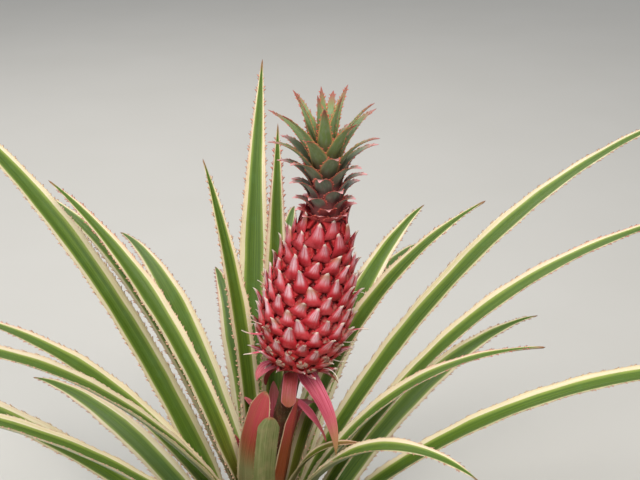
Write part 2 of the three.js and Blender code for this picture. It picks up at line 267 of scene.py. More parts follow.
# The leaves, counted from 0, that the photo shows otherwise than the rule
LEAVES_AS_SEEN = {
    7: dict(turn=-8, rise=46, arch=52, length=640),
    11: dict(turn=-10, rise=65, arch=62, length=720),
    12: dict(turn=-10, rise=60, arch=42, length=790),
    16: dict(turn=12, rise=48, arch=79, length=800),
    19: dict(turn=-14, rise=60, arch=57, length=800),
    20: dict(turn=-8, rise=55, arch=57, length=500),
    24: dict(turn=-10, rise=66, arch=60, length=408),
    28: dict(turn=12, rise=59),
    29: dict(turn=-1, rise=65, arch=86, length=325),
    30: dict(turn=-11, rise=65, arch=-1, length=542, sweep=-16),
    32: dict(turn=1, rise=76, arch=52, length=455),
    33: dict(turn=-14, rise=68, arch=46, length=475),
    34: dict(turn=-20, rise=54, length=300, width=24),
    35: dict(turn=10, rise=79, arch=5, length=450),
    36: dict(turn=30, rise=80, arch=-30, tilt=18, length=168, width=31, taper=0.16),
    37: dict(turn=-10, rise=76, arch=76, length=150, width=18),
    38: dict(turn=2, rise=87, arch=20, length=415),
    39: dict(turn=4, rise=82, arch=-10, tilt=9, length=130, width=25, taper=0.12),
    40: dict(turn=-4, rise=82, length=122, width=19),
    41: dict(turn=-25, rise=86, length=78, width=17),
    42: dict(turn=-2, rise=80, arch=-4, tilt=9, length=142, width=24, taper=0.22),
    43: dict(rise=89, arch=4, length=90, width=16),
}
# How far the red of the heart runs over a leaf: from this share of its length to that one
RED_OVER = {
    36: (0.2, 0.62), 37: (0.3, 1.6), 40: (0.1, 0.8),
    41: (0.2, 0.9), 42: (-0.2, 0.3), 43: (0.2, 0.9),
}
FIRST_HEART_LEAF = 27
HEART_FOOT_RED = 0.35  # at the feet of the heart leaves
HEART_FOOT_SPAN = 0.16  # metres up, where it is gone
SCURFY_LEAF = 39  # the one heart leaf without pale margins
SPINE_PITCH = 4.9 * MM
SPINE_LENGTH = 3.9 * MM
SPINE_SPAN = (0.06, 0.97)  # the shares of a leaf between which its spines stand
FULL_SPINES = 0.35  # metres of leaf from which its spines are whole
LEAF_THICKNESS = 1.2 * MM
THICKNESS_SHARE = 0.0035  # of a leaf's length, on top
SHORT_LEAF = 250 * MM
WIDE_FOOT = 0.05  # metres of a leaf's foot that are wider
CLASP_LENGTH = 60 * MM  # the part of a leaf that wraps towards the stem
RIPPLE = 0.55 * MM
RIPPLE_PACE = 10.5 * MM
CREASE = 0.9 * MM


def level_way(azimuth):
    """The level direction at an azimuth in degrees."""
    return np.array([np.cos(np.radians(azimuth)), np.sin(np.radians(azimuth)), 0])


def blade_frames(seat, azimuth, rise, arch, length, turn=0, sweep=0, tilt=0, steps=120):
    """The middle line of a blade at even steps, summed from its direction at the middle of each
    step. It leaves its seat at rise degrees above level and loses arch times s to the 1.5. Its
    heading starts at azimuth, turns by turn in the first fifth and by sweep over the length, and
    the blade leans in its own plane by tilt times s. Gives s, places and three directions."""

    def aim(s):
        climb = np.radians(rise - arch * s**1.5)[:, None]
        heading = np.radians(azimuth + turn * smooth(s / 0.2) + sweep * s)
        level = np.stack([np.cos(heading), np.sin(heading), 0 * s], -1)
        along_it = level * np.cos(climb) + UP * np.sin(climb)
        sideways = np.cross(UP, level)
        slant = np.radians(tilt * s)[:, None]
        tangent = along_it * np.cos(slant) + sideways * np.sin(slant)
        across = sideways * np.cos(slant) - along_it * np.sin(slant)
        return tangent, across, np.cross(along_it, sideways)

    s = np.linspace(0, 1, steps + 1)
    moves = aim((s[:-1] + s[1:]) / 2)[0] * length / steps
    places = seat + np.vstack([np.zeros(3), np.cumsum(moves, 0)])
    return s, places, *aim(s)


def edge_spines(frames, edge, side, length, spine, offset, first):
    """Small closed spines along one edge of a blade, bent forward: two corners on the edge half a
    spine's length apart from its middle, one below, and a point at out 0.85 and forward 0.62."""
    s, _, tangent, across, inward = frames
    pitch, reach, first_s, last_s = spine
    count = max(3, int(length * (last_s - first_s) / pitch))
    n = np.arange(count)
    stretch = (last_s - first_s) / (count + 1)
    at = first_s + stretch * (n + 0.5 + 0.3 * np.sin(2.1 * n + 7 * offset) + 0.25 * side)
    long = (reach * (0.75 + 0.35 * np.sin(1.7 * n + side + 3 * offset)))[:, None]

    def read(rows):
        return np.stack([np.interp(at, s[:-1], rows[:, m]) for m in range(3)], -1)

    forward, inner, out = read(tangent[:-1]), read(inward[:-1]), read(across[:-1]) * side
    root = read(edge) - out * 0.35 * MM
    corners = [
        root - forward * 0.5 * long + inner * 0.16 * long,
        root + forward * 0.5 * long + inner * 0.16 * long,
        root - inner * 0.16 * long,
        root + long * (out * 0.85 + forward * 0.62),
    ]
    points = np.stack(corners, 1).reshape(-1, 3)
    winding = np.array([[0, 3, 1], [1, 3, 2], [2, 3, 0], [0, 1, 2]])[:, ::side]
    faces = (first + 4 * np.arange(count) + winding[:, :, None]).transpose(0, 2, 1).reshape(-1, 3)
    beyond = np.tile([1.02, 1.02, 1.02, 1.3], count) * side
    run = np.repeat(at, 4) * length + offset
    place = np.stack([beyond, run, np.full(4 * count, 0.4)], -1)
    # Four small triangles side by side in the free lane between the two faces of the blade
    lane = 0.480 if side < 0 else 0.502
    shapes = np.array([
        [[0, -1], [9, 0], [0, 1]], [[10, 1], [18, 0.3], [10, 0]],
        [[10, 0], [18, -0.3], [10, -1]], [[9.2, -1], [9.2, 1], [9.8, 0]],
    ])[:, ::side]
    u = np.broadcast_to(lane + 0.001 * shapes[:, None, :, 0], (4, count, 3))
    v = 0.03 + 0.96 * (at[None, :, None] + 0.3 * stretch * shapes[:, None, :, 1])
    return points, faces, place, np.repeat(at, 4), np.stack([u, v], -1).reshape(-1, 2)


def blade_skin(frames, half, lift, thick, length, spine=None, offset=0.0, columns=16):
    """The closed skin of a thin blade. A point of its middle sheet is the middle line, plus x
    half(s) across, plus lift(x, s) inward. The body T (0.45 + 0.55 (1 − |x|)) √(1 − x⁶) lies half
    above and half below it, and T is thick[0] (1 − thick[1] s). x runs from −1 to 1 by a sine, so
    that columns crowd at the edges. Gives points, faces, place, share and corner places, with
    the upper face in the left half of the map and the lower face in the right half."""
    s, places, _, across, inward = frames
    x = np.sin(np.linspace(-np.pi / 2, np.pi / 2, columns + 1))
    S, X = np.meshgrid(s[:-1], x, indexing="ij")
    sheet = places[:-1, None] + across[:-1, None] * (half(S) * X)[..., None]
    sheet = sheet + inward[:-1, None] * lift(X, S)[..., None]
    body = thick[0] * (1 - thick[1] * S) * (0.45 + 0.55 * (1 - np.abs(X)))
    body = body * np.sqrt(np.clip(1 - X**6, 0, 1))
    raised = inward[:-1, None] * (body / 2)[..., None]
    upper, lower = sheet + raised, sheet - raised
    rings = np.concatenate([upper, lower[:, -2:0:-1]], 1)
    stations, ring = rings.shape[:2]
    points = np.vstack([rings.reshape(-1, 3), places[-1:]])
    under = np.concatenate([[0.5], np.zeros(columns - 1), [0.5], np.ones(columns - 1)])
    x_mark, s_mark = np.meshgrid(np.concatenate([x, x[-2:0:-1]]), s[:-1])
    place = np.stack([x_mark, s_mark * length + offset, np.tile(under, (stations, 1))], -1)
    place = np.vstack([place.reshape(-1, 3), [[0, length + offset, 0.5]]])
    share = np.append(s_mark.ravel(), 1.0)

    low = (stations - 1) * ring
    c = np.arange(columns)
    foot = np.stack([c, c + 1, (ring - c - 1) % ring, (ring - c) % ring], -1)
    quads = np.vstack([ring_faces(stations, ring)[:, ::-1], foot[1:-1]])
    tris = np.vstack([
        fan_faces(ring, low, stations * ring, flipped=True),
        [foot[0, [0, 1, 2]], foot[-1, [0, 1, 3]]],
    ])

    left, right = 0.01 + 0.23 * (x + 1), 0.53 + 0.23 * (1 - x[::-1])
    u0, u1 = np.concatenate([left[:-1], right[:-1]]), np.concatenate([left[1:], right[1:]])
    v = 0.03 + 0.96 * s
    here, there = [np.tile(row[:, None], (1, ring)) for row in (v[:-2], v[1:-1])]
    U0, U1 = np.tile(u0, (stations - 1, 1)), np.tile(u1, (stations - 1, 1))
    quad_uv = np.stack([U0, there, U1, there, U1, here, U0, here], -1).reshape(-1, 2)
    near_tip, tip = 0 * u0 + v[-2], 0 * u0 + v[-1]
    tip_uv = np.stack([u0, near_tip, (u0 + u1) / 2, tip, u1, near_tip], -1).reshape(-1, 2)
    high, deep = 0 * c + 0.02, 0 * c + 0.005
    foot_uv = np.stack([left[:-1], high, left[1:], high, left[1:], deep, left[:-1], deep], -1)
    foot_uv = foot_uv.reshape(-1, 4, 2)
    quad_uv = np.vstack([quad_uv, foot_uv[1:-1].reshape(-1, 2)])
    tri_uv = np.vstack([tip_uv, foot_uv[0, [0, 1, 2]], foot_uv[-1, [0, 1, 3]]])
    for side in (-1, 1) if spine else ():
        edge = upper[:, 0 if side < 0 else -1]
        made = edge_spines(frames, edge, side, length, spine, offset, len(points))
        points, tris = np.vstack([points, made[0]]), np.vstack([tris, made[1]])
        place, share = np.vstack([place, made[2]]), np.append(share, made[3])
        tri_uv = np.vstack([tri_uv, made[4]])
    return points, [quads, tris], place, share, np.vstack([quad_uv, tri_uv])


def leaf_growth(i):
    """How leaf number i grows, by the spiral's rule of the source. Upper leaves at the front lie
    lower and bend more, those at the back are shorter, and sines make each a little different."""
    share = i / (LEAF_COUNT - 1)
    azimuth = LOWEST_AZIMUTH + GOLDEN_ANGLE * i
    open_side = smooth((-np.sin(np.radians(azimuth)) - 0.2) / 0.6) * share
    back = smooth(np.sin(np.radians(azimuth)))
    climb = min((HIGHEST_SEAT - LOWEST_SEAT) * share**SEAT_CROWDING, SEAT_CLIMB * share)
    arch = 32 - 16 * share + 34 * np.sin(np.pi * share) + 10 * open_side + 8 * back
    length = along(LENGTH_BY_SHARE, share) * (1 - BACK_SHORTER * back)
    grown = dict(
        azimuth=azimuth,
        seat_height=LOWEST_SEAT + climb,
        rise=along(RISE_BY_SHARE, share) - OPEN_DROP * open_side - 8 * back + 2 * np.sin(2.3 * i),
        arch=arch + 4 * np.sin(4.1 * i),
        length=length * (1 + 0.05 * np.sin(3.3 * i)),
        width=along(WIDTH_BY_SHARE, share),
        turn=0,
        tilt=0,
        taper=TAPER,
        sweep=6 * np.sin(1.7 * i),
    )
    grown.update(LEAVES_AS_SEEN.get(i, {}))
    return grown


def leaf_piece(i, finish):
    """Leaf number i: its seat and curve by the source's rule, its clasping foot wrapped towards
    the stem's round, a crease along its middle, edges that ripple a little, and a slow roll. Its
    half width is the whole one until taper from the tip, and ((1 − s) / taper)^blunt after it."""
    g = leaf_growth(i)
    radius = stem_radius(g["seat_height"] * MM)
    seat = level_way(g["azimuth"]) * (radius + 0.4 * MM) + UP * g["seat_height"] * MM
    length = g["length"] * MM
    short = length < SHORT_LEAF
    steps = 60 if short else 120
    path = {key: g[key] for key in ("azimuth", "rise", "arch", "turn", "sweep", "tilt")}
    frames = blade_frames(seat, length=length, steps=steps, **path)
    width = g["width"] * MM / 2
    ripple = RIPPLE * (0.5 if short else 1)
    blunt = 0.8 if g["taper"] > 0.2 else 0.5

    def half(s):
        clasp = 1 + 0.4 * (1 - smooth(s * length / WIDE_FOOT))
        grown = FOOT_WIDTH + (1 - FOOT_WIDTH) * smooth(s / 0.2)
        return width * grown * clasp * np.minimum(1, ((1 - s) / g["taper"]) ** blunt)

    def lift(x, s):
        wide = half(s)
        channel = wide * (0.1 + 0.26 * smooth(s / 0.15) - 0.1 * smooth((s - 0.5) / 0.5))
        clasp = 1 - smooth(s * length / CLASP_LENGTH)
        wrap = 0.4 * (wide * x) ** 2 / radius * clasp
        crease = -CREASE * np.exp(-((x / 0.16) ** 2))
        wave = ripple * np.abs(x) ** 3 * np.sin(s * length / RIPPLE_PACE + 2.2 * np.sign(x) + i)
        roll = wide * x * 0.22 * np.sin(2.6 * i) * smooth((s - 0.25) / 0.75)
        fine = (crease + wave) * smooth(s / 0.1)
        return channel * (np.abs(x) ** 1.5 - 0.12) + wrap + fine + roll

    thick = (LEAF_THICKNESS + THICKNESS_SHARE * length, 0.55)
    spine = (SPINE_PITCH, SPINE_LENGTH * min(1, length / FULL_SPINES), *SPINE_SPAN)
    points, faces, place, share, uv = blade_skin(
        frames, half, lift, thick, length, spine, offset=float(i)
    )
    blush = 0.35 + 0.35 * np.sin(2.9 * i + 1)
    flush = blush * smooth((share - 0.45) / 0.5)
    red_from, red_to = RED_OVER.get(i, (9, 10))  # past the tip: no red
    heart = smooth((share - red_from) / (red_to - red_from))
    if i >= FIRST_HEART_LEAF:
        foot_red = HEART_FOOT_RED * (1 - smooth(share * length / HEART_FOOT_SPAN))
        heart = np.maximum(heart, foot_red)
    if i == SCURFY_LEAF:
        heart = 0 * heart - 1
    marks = {"blade_place": place, "blade_tone": np.stack([share, flush, heart], -1)}
    piece = lay_mesh(f"leaf_blade_{i + 1:02d}", points, faces, marks, uv)
    dress(piece, finish, "leaf", f"leaf_{i + 1:02d}")


def blade_marks(f):
    """What the points of a blade tell its finish: how near they are to its edges, whether they
    are under it, their flat place, and the three tones of its tone mark."""
    across, run, under = f.split(f.marks("blade_place"))
    flat = f.node("CombineXYZ", {0: across, 1: run}).outputs[0]
    return f.math("ABSOLUTE", across), under, flat, *f.split(f.marks("blade_tone"))


f = Finish("striped_leaf_skin", 0.42, 0.35)
side, under, flat, share, flush, heart = blade_marks(f)
drift = f.streaks(flat, (0.4, 7, 1), 2)
border = f.add(0.5, f.times(drift, 0.3))  # where the green ends, in half widths
lines = f.streaks(flat, (26, 4, 1), 4)
fine_lines = f.streaks(flat, (70, 9, 1), 3)
mottle = f.streaks(flat, (1.5, 60, 1), 4)
side_edge = f.add(side, f.times(f.add(lines, -0.5), 0.10))
past_border = f.math("SUBTRACT", side_edge, border)
pale_share = f.step(past_border, -0.015, 0.03)
green = f.mix(f.step(lines, 0.3, 0.7), (60, 90, 20), (96, 122, 32))
green = f.over(green, past_border, -0.28, 0.0, (146, 162, 74))
green = f.over(green, mottle, 0.45, 0.75, (88, 122, 60), 0.35)
ivory = f.mix(f.step(lines, 0.35, 0.7), (238, 226, 194), (222, 208, 156))
ivory = f.over(ivory, fine_lines, 0.58, 0.7, (168, 172, 96), 0.55)
pink_edge = f.times(f.step(side, 0.72, 1.0), f.add(flush, 0.15))
ivory = f.mix(pink_edge, ivory, (226, 158, 146))
skin = f.mix(pale_share, green, ivory)
back = f.mix(pale_share, (118, 132, 92), (214, 206, 164))
back = f.over(back, fine_lines, 0.4, 0.65, (150, 158, 124), 0.5)
skin = f.over(skin, under, 0.45, 0.75, back, 0.8)
red = f.mix(f.step(share, 0.45, 0.85), (112, 48, 16), (172, 50, 70))
red = f.over(red, lines, 0.4, 0.6, (146, 76, 44), 0.7)
red = f.over(red, fine_lines, 0.52, 0.66, (206, 124, 104), 0.35)
inside_rim = f.rest(f.times(f.step(side, 0.88, 0.97), 0.6))
skin = f.mix(f.times(f.math("MAXIMUM", heart, 0.0), inside_rim), skin, red)
scurfy = f.step(f.times(heart, -1.0), 0.4, 0.6)
grey = f.mix(f.step(lines, 0.3, 0.7), (98, 104, 58), (136, 140, 94))
grey = f.over(grey, mottle, 0.4, 0.7, (154, 140, 104), 0.5)
skin = f.mix(scurfy, skin, grey)
sheath = f.rest(f.step(share, 0.0, 0.07))
skin = f.mix(f.times(sheath, 0.7), skin, (196, 178, 140))
dry = f.step(f.add(share, f.times(mottle, 0.03)), 0.975, 1.01)
skin = f.mix(dry, skin, (150, 104, 70))
spine_paint = f.mix(f.add(flush, 0.2), (226, 182, 150), (204, 116, 100))
skin = f.over(skin, side, 1.0, 1.12, spine_paint)
f.coat(skin, f.add(lines, f.times(fine_lines, 0.5)), 0.35, 0.0012)
f.tree.links.new(f.add(0.36, f.times(mottle, 0.2)), f.shader.inputs["Roughness"])
for i in range(LEAF_COUNT):
    leaf_piece(i, f)

# Old leaf bases: the stubs of the oldest leaves, dried brown, still clasp the foot of the stem in
# the same spiral, below and between the lowest living leaves.

STUB_COUNT = 30
STUB_SEATS = (2, 118)
STUB_TURN = 62  # degrees from the lowest leaf to the first stub
STUB_HALF_WIDTH = 15 * MM


def joined(parts):
    """Many skins as one. Each part is its points, its faces with four and with three corners, and
    its marks; what comes back is the same for all of them together."""
    starts = np.cumsum([0] + [len(part[0]) for part in parts])
    faces = [
        np.vstack([part[1][m] + start for part, start in zip(parts, starts)]) for m in (0, 1)
    ]
    points, _, *marks = zip(*parts)
    return np.vstack(points), faces, *[np.vstack(mark) for mark in marks]


def old_stub(k):
    """Stub k from the ground up: a short clasping blade, wrapped round the stem by x² and curled
    in at its ragged end. Its half width is 15 mm (1 − 0.92 s⁴), with small waves."""
    share = k / (STUB_COUNT - 1)
    height = (STUB_SEATS[0] + (STUB_SEATS[1] - STUB_SEATS[0]) * share) * MM
    azimuth = LOWEST_AZIMUTH + STUB_TURN - GOLDEN_ANGLE * k
    radius = float(stem_radius(height))
    length = (34 + 12 * np.sin(2.9 * k)) * MM
    seat = level_way(azimuth) * (radius - 0.5 * MM) + UP * height
    rise, arch = 66 + 9 * np.sin(4.7 * k), -12 + 26 * np.sin(1.3 * k)
    frames = blade_frames(seat, azimuth, rise, arch, length, steps=24)

    def half(s):
        return STUB_HALF_WIDTH * (1 - 0.92 * s**4) * (1 + 0.05 * np.sin(17 * s + k))

    def lift(x, s):
        curl = 0.8 * MM * np.sin(5 * x + k) * s**2
        return (half(s) * x) ** 2 / (2 * radius) * (1 - 0.35 * s) + curl

    points, faces, place, along_it, _ = blade_skin(
        frames, half, lift, (2.6 * MM, 0.65), length, offset=300.0 + k, columns=12
    )
    points[:, 2] = np.maximum(points[:, 2], 0.2 * MM)
    return points, faces, np.stack([place[:, 0], place[:, 1], along_it], -1)


points, faces, mark = joined([old_stub(k) for k in range(STUB_COUNT)])
f = Finish("dried_leaf_base_skin", 0.85)
marks = f.marks("stub_mark")
share = f.split(marks)[2]
lines = f.streaks(marks, (18, 30, 0), 4)
fleck = f.noise(f.place(), 120, detail=4)
skin = f.mix(f.step(lines, 0.35, 0.68), (104, 76, 46), (176, 148, 104))
skin = f.over(skin, fleck, 0.5, 0.7, (82, 56, 34), 0.6)
skin = f.over(skin, share, 0.55, 1.0, (92, 66, 44), 0.6)
f.coat(skin, lines, 0.6, 0.001)
dress(lay_mesh("old_leaf_bases", points, faces, {"stub_mark": mark}), f, "stem", "main_stem")

# Flower stalk: the stiff stem of the fruit, which leans out of the heart of the leaves. It is
# red-brown over green, ribbed lengthwise, with pale scurf and the scars of shed bracts.

STALK_TOP = np.array([36.0, 0.0, 430.0]) * MM
CLEAR = 0.3 * MM  # between parts that stand on each other
STALK_RADII = (13 * MM, 10 * MM)
STALK_RIBS = 11
SCAR_TURNS = 6.3
SCAR_HEIGHT = 0.7 * MM
FRUIT_LEAN = np.radians(11)
FRUIT_AXIS = np.array([np.sin(FRUIT_LEAN), 0, np.cos(FRUIT_LEAN)])
STALK_BEND = 100 * MM  # how far below its top the curve's middle point lies
STALK_POINTS = np.stack([
    [0, 0, STEM_HEIGHT + CLEAR],
    STALK_TOP - STALK_BEND * FRUIT_AXIS,
    STALK_TOP - CLEAR * FRUIT_AXIS,
])


def stalk_place(s):
    """The quadratic curve of the stalk's three points, and its direction, at s from 0 to 1."""
    s = np.atleast_1d(s)[:, None]
    a, b, c = STALK_POINTS
    place = (1 - s) ** 2 * a + 2 * s * (1 - s) * b + s**2 * c
    tangent = 2 * (1 - s) * (b - a) + 2 * s * (c - b)
    return place, tangent / np.linalg.norm(tangent, axis=1, keepdims=True)


def stalk_radius(s):
    """Falls evenly from the foot to the top."""
    return STALK_RADII[0] + (STALK_RADII[1] - STALK_RADII[0]) * s


a, s = round_grid(64, 90, 0, 1)
middle, direction = stalk_place(s[:, 0])
side_way = np.cross([0, 1, 0], direction)
scar = np.exp(-(((s * SCAR_TURNS + a / (2 * np.pi)) % 1 - 0.5) / 0.12) ** 2)
ribs = 0.35 * MM * np.sin(STALK_RIBS * a)
r = stalk_radius(s) - 0.4 * MM + ribs + SCAR_HEIGHT * scar * smooth((1 - s) / 0.05)
grid = (
    middle[:, None]
    + side_way[:, None] * (r * np.cos(a))[..., None]
    + np.array([0, 1.0, 0]) * (r * np.sin(a))[..., None]
)
points, faces = capped(grid, middle[0], middle[-1])
f = Finish("scurfy_stalk_skin", 0.7)
place = f.place()
ribs = f.streaks(place, (1, 1, 0.06), 4, size=420)
scurf = f.noise(place, 700, detail=5)
skin = f.mix(f.step(ribs, 0.35, 0.65), (84, 44, 30), (124, 72, 46))
skin = f.mix(f.step(f.noise(place, 45), 0.45, 0.7), skin, (92, 86, 50))
skin = f.over(skin, scurf, 0.56, 0.7, (190, 168, 140), 0.6)
f.coat(skin, f.add(ribs, scurf), 0.5, 0.0008)
dress(lay_mesh("ribbed_stalk", points, faces), f, "stalk", "flower_stalk")

# Bracts: soft pink-red leaves of the stalk. Four stand along it, and six form the collar that
# hangs and curls under the fruit, fading to tan at their tips, with a few fine spines.

# Each row: mm below the stalk's top, azimuth, rise and arch in degrees, length and width in mm,
# and for some the share of the length that tapers, and how tan the tip is
STALK_BRACTS = [
    (106, 96, 68, 14, 66, 24),
    (94, 158, 62, 30, 52, 20),
    (70, 28, 40, 80, 38, 18),
    (43, 326, -26, 44, 62, 11),
]
COLLAR_BRACTS = [
    (6, 317, -36, 58, 114, 31, 1, 0.8),
    (9, 262, -22, 60, 42, 17, 0.16),
    (6, 200, 26, 112, 44, 22, 0.4),
    (13, 130, -20, 60, 62, 20),
    (8, 66, -16, 62, 74, 20),
    (13, 2, 8, 70, 48, 9),
]
BRACT_FOOT = 1.5  # mm of its length inside the stalk
curve = stalk_place(np.linspace(0, 1, 201))[0]
STALK_LENGTH = np.linalg.norm(np.diff(curve, axis=0), axis=1).sum()


def bract_piece(
    kind, number, phase, finish, below, azimuth, rise, arch, length, width, taper=0.6, tan=0.15
):
    """A bract whose foot sits on the stalk, by the source's rule, with a soft fold along its
    middle and edges that wave. Its half width grows from half to the whole in the first 0.15, and
    is ((1 − t) / taper)^0.7 of it near the tip."""
    s = 1 - below * MM / STALK_LENGTH
    seat = stalk_place(s)[0][0] + level_way(azimuth) * (stalk_radius(s) - BRACT_FOOT * MM)
    length = (length + BRACT_FOOT) * MM
    frames = blade_frames(seat, azimuth, rise, arch, length, steps=48)
    width = width * MM / 2

    def half(t):
        grown = 0.5 + 0.5 * smooth(t / 0.15)
        return width * grown * np.minimum(1, ((1 - t) / taper) ** 0.7)

    def lift(x, t):
        wave = 0.7 * MM * x**2 * np.sin(9 * t + 2 * np.sign(x) + phase)
        return 0.3 * half(t) * np.abs(x) ** 1.6 + wave * smooth(t / 0.2)

    spine = (4.5 * MM, 0.9 * MM, 0.3, 0.95)
    points, faces, place, share, uv = blade_skin(
        frames, half, lift, (1.3 * MM, 0.4), length, spine, offset=100.0 + phase, columns=12
    )
    same = 0 * share
    rust = 0.5 + 0.5 * np.sin(3 * phase + 3)
    tone = np.stack([share, same + rust, same + tan], -1)
    marks = {"blade_place": place, "blade_tone": tone}
    piece = lay_mesh(f"{kind}_leaflet_{number}", points, faces, marks, uv)
    dress(piece, finish, "bract", f"{kind}_bract_{number}")


f = Finish("pink_bract_skin", 0.5, 0.4)
side, under, flat, share, blush, tan = blade_marks(f)
lines = f.streaks(flat, (14, 14, 1), 4)
fine_lines = f.streaks(flat, (40, 20, 1), 3)
skin = f.mix(f.step(lines, 0.38, 0.62), (176, 34, 60), (212, 100, 128))
skin = f.over(skin, fine_lines, 0.5, 0.66, (226, 150, 144), 0.45)
rust = f.times(blush, f.step(fine_lines, 0.3, 0.5))
skin = f.mix(f.times(rust, 0.95), skin, (124, 44, 24))
skin = f.mix(f.times(f.step(share, 0.5, 0.95), tan), skin, (190, 156, 96))
rim = f.times(f.step(side, 0.86, 1.0), 0.4)
skin = f.mix(rim, skin, (226, 130, 150))
skin = f.over(skin, under, 0.45, 0.75, (190, 60, 84), 0.4)
f.coat(skin, f.add(lines, fine_lines), 0.4, 0.0008)
for kind, phase, rows in (("stalk", 0, STALK_BRACTS), ("collar", 7, COLLAR_BRACTS)):
    for n, row in enumerate(rows):
        bract_piece(kind, n + 1, n + phase, f, *row)

# Fruit: a cone of fleshy eyes grown together in spirals. Each is a low cushion in a deep red
# groove under its own stiff bract, pale in the middle, red at the foot and free at the tip. Its
# grooves are painted near black: partly the fruit's own deep red, partly painted shade in them.

FRUIT_LENGTH = 184 * MM
FRUIT_PROFILE = [  # shares of its length, radii in mm
    (0, 25), (0.025, 36), (0.09, 43.5), (0.285, 50.5), (0.58, 45.5), (0.84, 33.5), (1, 21),
]
EYE_COUNT = 138
EYE_ANGLE = -137.45  # degrees from each eye to the next one
FIRST_EYE = 125.75  # azimuth of the lowest
EYE_SPREAD = 13 * MM  # reach of the largest
SEPAL_RISE = 0.2  # how far above an eye's middle its dried flower sits, in eye sizes
CUSHION_HEIGHT = 4.4 * MM
GROOVE_DEPTH = 3.8 * MM
SEPAL_HEIGHT = 1.4 * MM
PROFILE_SOFTENING = 0.045
BEAK_ROWS = np.array([0, 0.05, 0.14, 0.27, 0.42, 0.57, 0.72, 0.85, 0.94])  # shares of its length
BEAK_COLUMNS = np.sin(np.linspace(-np.pi / 2, np.pi / 2, 7))  # shares of its half width


def fruit_radius(z):
    """The source's profile, softened by a mean over a short stretch of the axis, in metres."""
    share = np.asarray(z) / FRUIT_LENGTH
    shifts = np.linspace(-PROFILE_SOFTENING, PROFILE_SOFTENING, 9)
    near_end = np.minimum(1, np.minimum(share, 1 - share) / PROFILE_SOFTENING)
    return np.mean([along(FRUIT_PROFILE, share + d * near_end) for d in shifts], 0) * MM


def eye_heights():
    """Heights that give each eye equal room: equal steps of the running sum of radius + 4."""
    steps = 200
    room = np.append(0, np.cumsum(along(FRUIT_PROFILE, (np.arange(steps) + 0.5) / steps) + 4))
    u = (np.arange(EYE_COUNT) + 0.5) / EYE_COUNT
    return FRUIT_LENGTH * np.interp(u, room / room[-1], np.linspace(0, 1, steps + 1))


def lean(points, angle, foot):
    """Points turned about +Y by an angle and moved to their foot."""
    c, s = np.cos(angle), np.sin(angle)
    turn = np.array([[c, 0, s], [0, 1, 0], [-s, 0, c]])
    return points @ turn.T + foot


eye_z = eye_heights()
eye_a = np.radians(FIRST_EYE + EYE_ANGLE * np.arange(EYE_COUNT))
eye_size = EYE_SPREAD * (0.72 + 0.28 * smooth((fruit_radius(eye_z) / MM - 20) / 28))
a, z = round_grid(330, 230, 0, FRUIT_LENGTH)
base = fruit_radius(z)
near = np.full((2, *a.shape), 9.0)
kernel = 0 * a
for n in range(EYE_COUNT):
    turn = (a - eye_a[n] + np.pi) % (2 * np.pi) - np.pi
    du, dv = turn * base / eye_size[n], (z - eye_z[n]) / (0.95 * eye_size[n])
    d = np.hypot(du, dv)
    spread, way = np.hypot(du, dv - SEPAL_RISE), np.arctan2(dv - SEPAL_RISE, du)
    way = way + 0.5 * np.sin(2 * way + 1.7 * n)
    sepals = smooth(np.abs(np.cos(1.5 * way + 1.3 * n)) / 0.5 - 0.2)
    sepals = sepals * smooth((0.56 - spread) / 0.12)
    kernel = np.where(d < near[0], sepals, kernel)
    near = np.where(d < near[0], [d, near[0]], [near[0], np.minimum(near[1], d)])
cushion = smooth((near[1] - near[0]) / 0.5)
fade = smooth(np.minimum(z, FRUIT_LENGTH - z) / (5 * MM))
open_eye = 1 - 0.7 * smooth((z / FRUIT_LENGTH - 0.25) / 0.2)
r = base + fade * (CUSHION_HEIGHT * cushion - GROOVE_DEPTH + SEPAL_HEIGHT * kernel * open_eye)
points, faces = capped(turned(a, z, r), [0, 0, 0], [0, 0, FRUIT_LENGTH])
mark = np.stack([cushion, kernel, z / FRUIT_LENGTH], -1).reshape(-1, 3)
mark = np.vstack([mark, [[0, 0, 0], [0, 0, 1]]])
f = Finish("red_eye_skin", 0.6, 0.25)
rise_up, kernel_up, share = f.split(f.marks("eye_mark"))
grain = f.noise(f.place(), 420, detail=4)
# The grooves are painted near black and the cushion tops lighter: partly the fruit's own deep
# red, partly painted shade in the grooves.
skin = f.mix(f.step(rise_up, 0.1, 0.95), (84, 4, 6), (164, 30, 34))
skin = f.over(skin, grain, 0.5, 0.75, (196, 92, 84), 0.4)
sepal = f.mix(f.step(share, 0.12, 0.5), (176, 152, 134), (168, 80, 72))
sepal = f.over(sepal, grain, 0.4, 0.65, (112, 58, 50), 0.7)
skin = f.over(skin, kernel_up, 0.3, 0.95, sepal, 0.9)
f.coat(skin, grain, 0.35, 0.0008)
piece = lay_mesh("eyes_of_fruit", lean(points, FRUIT_LEAN, STALK_TOP), faces, {"eye_mark": mark})
dress(piece, f, "fruit", "fruit")


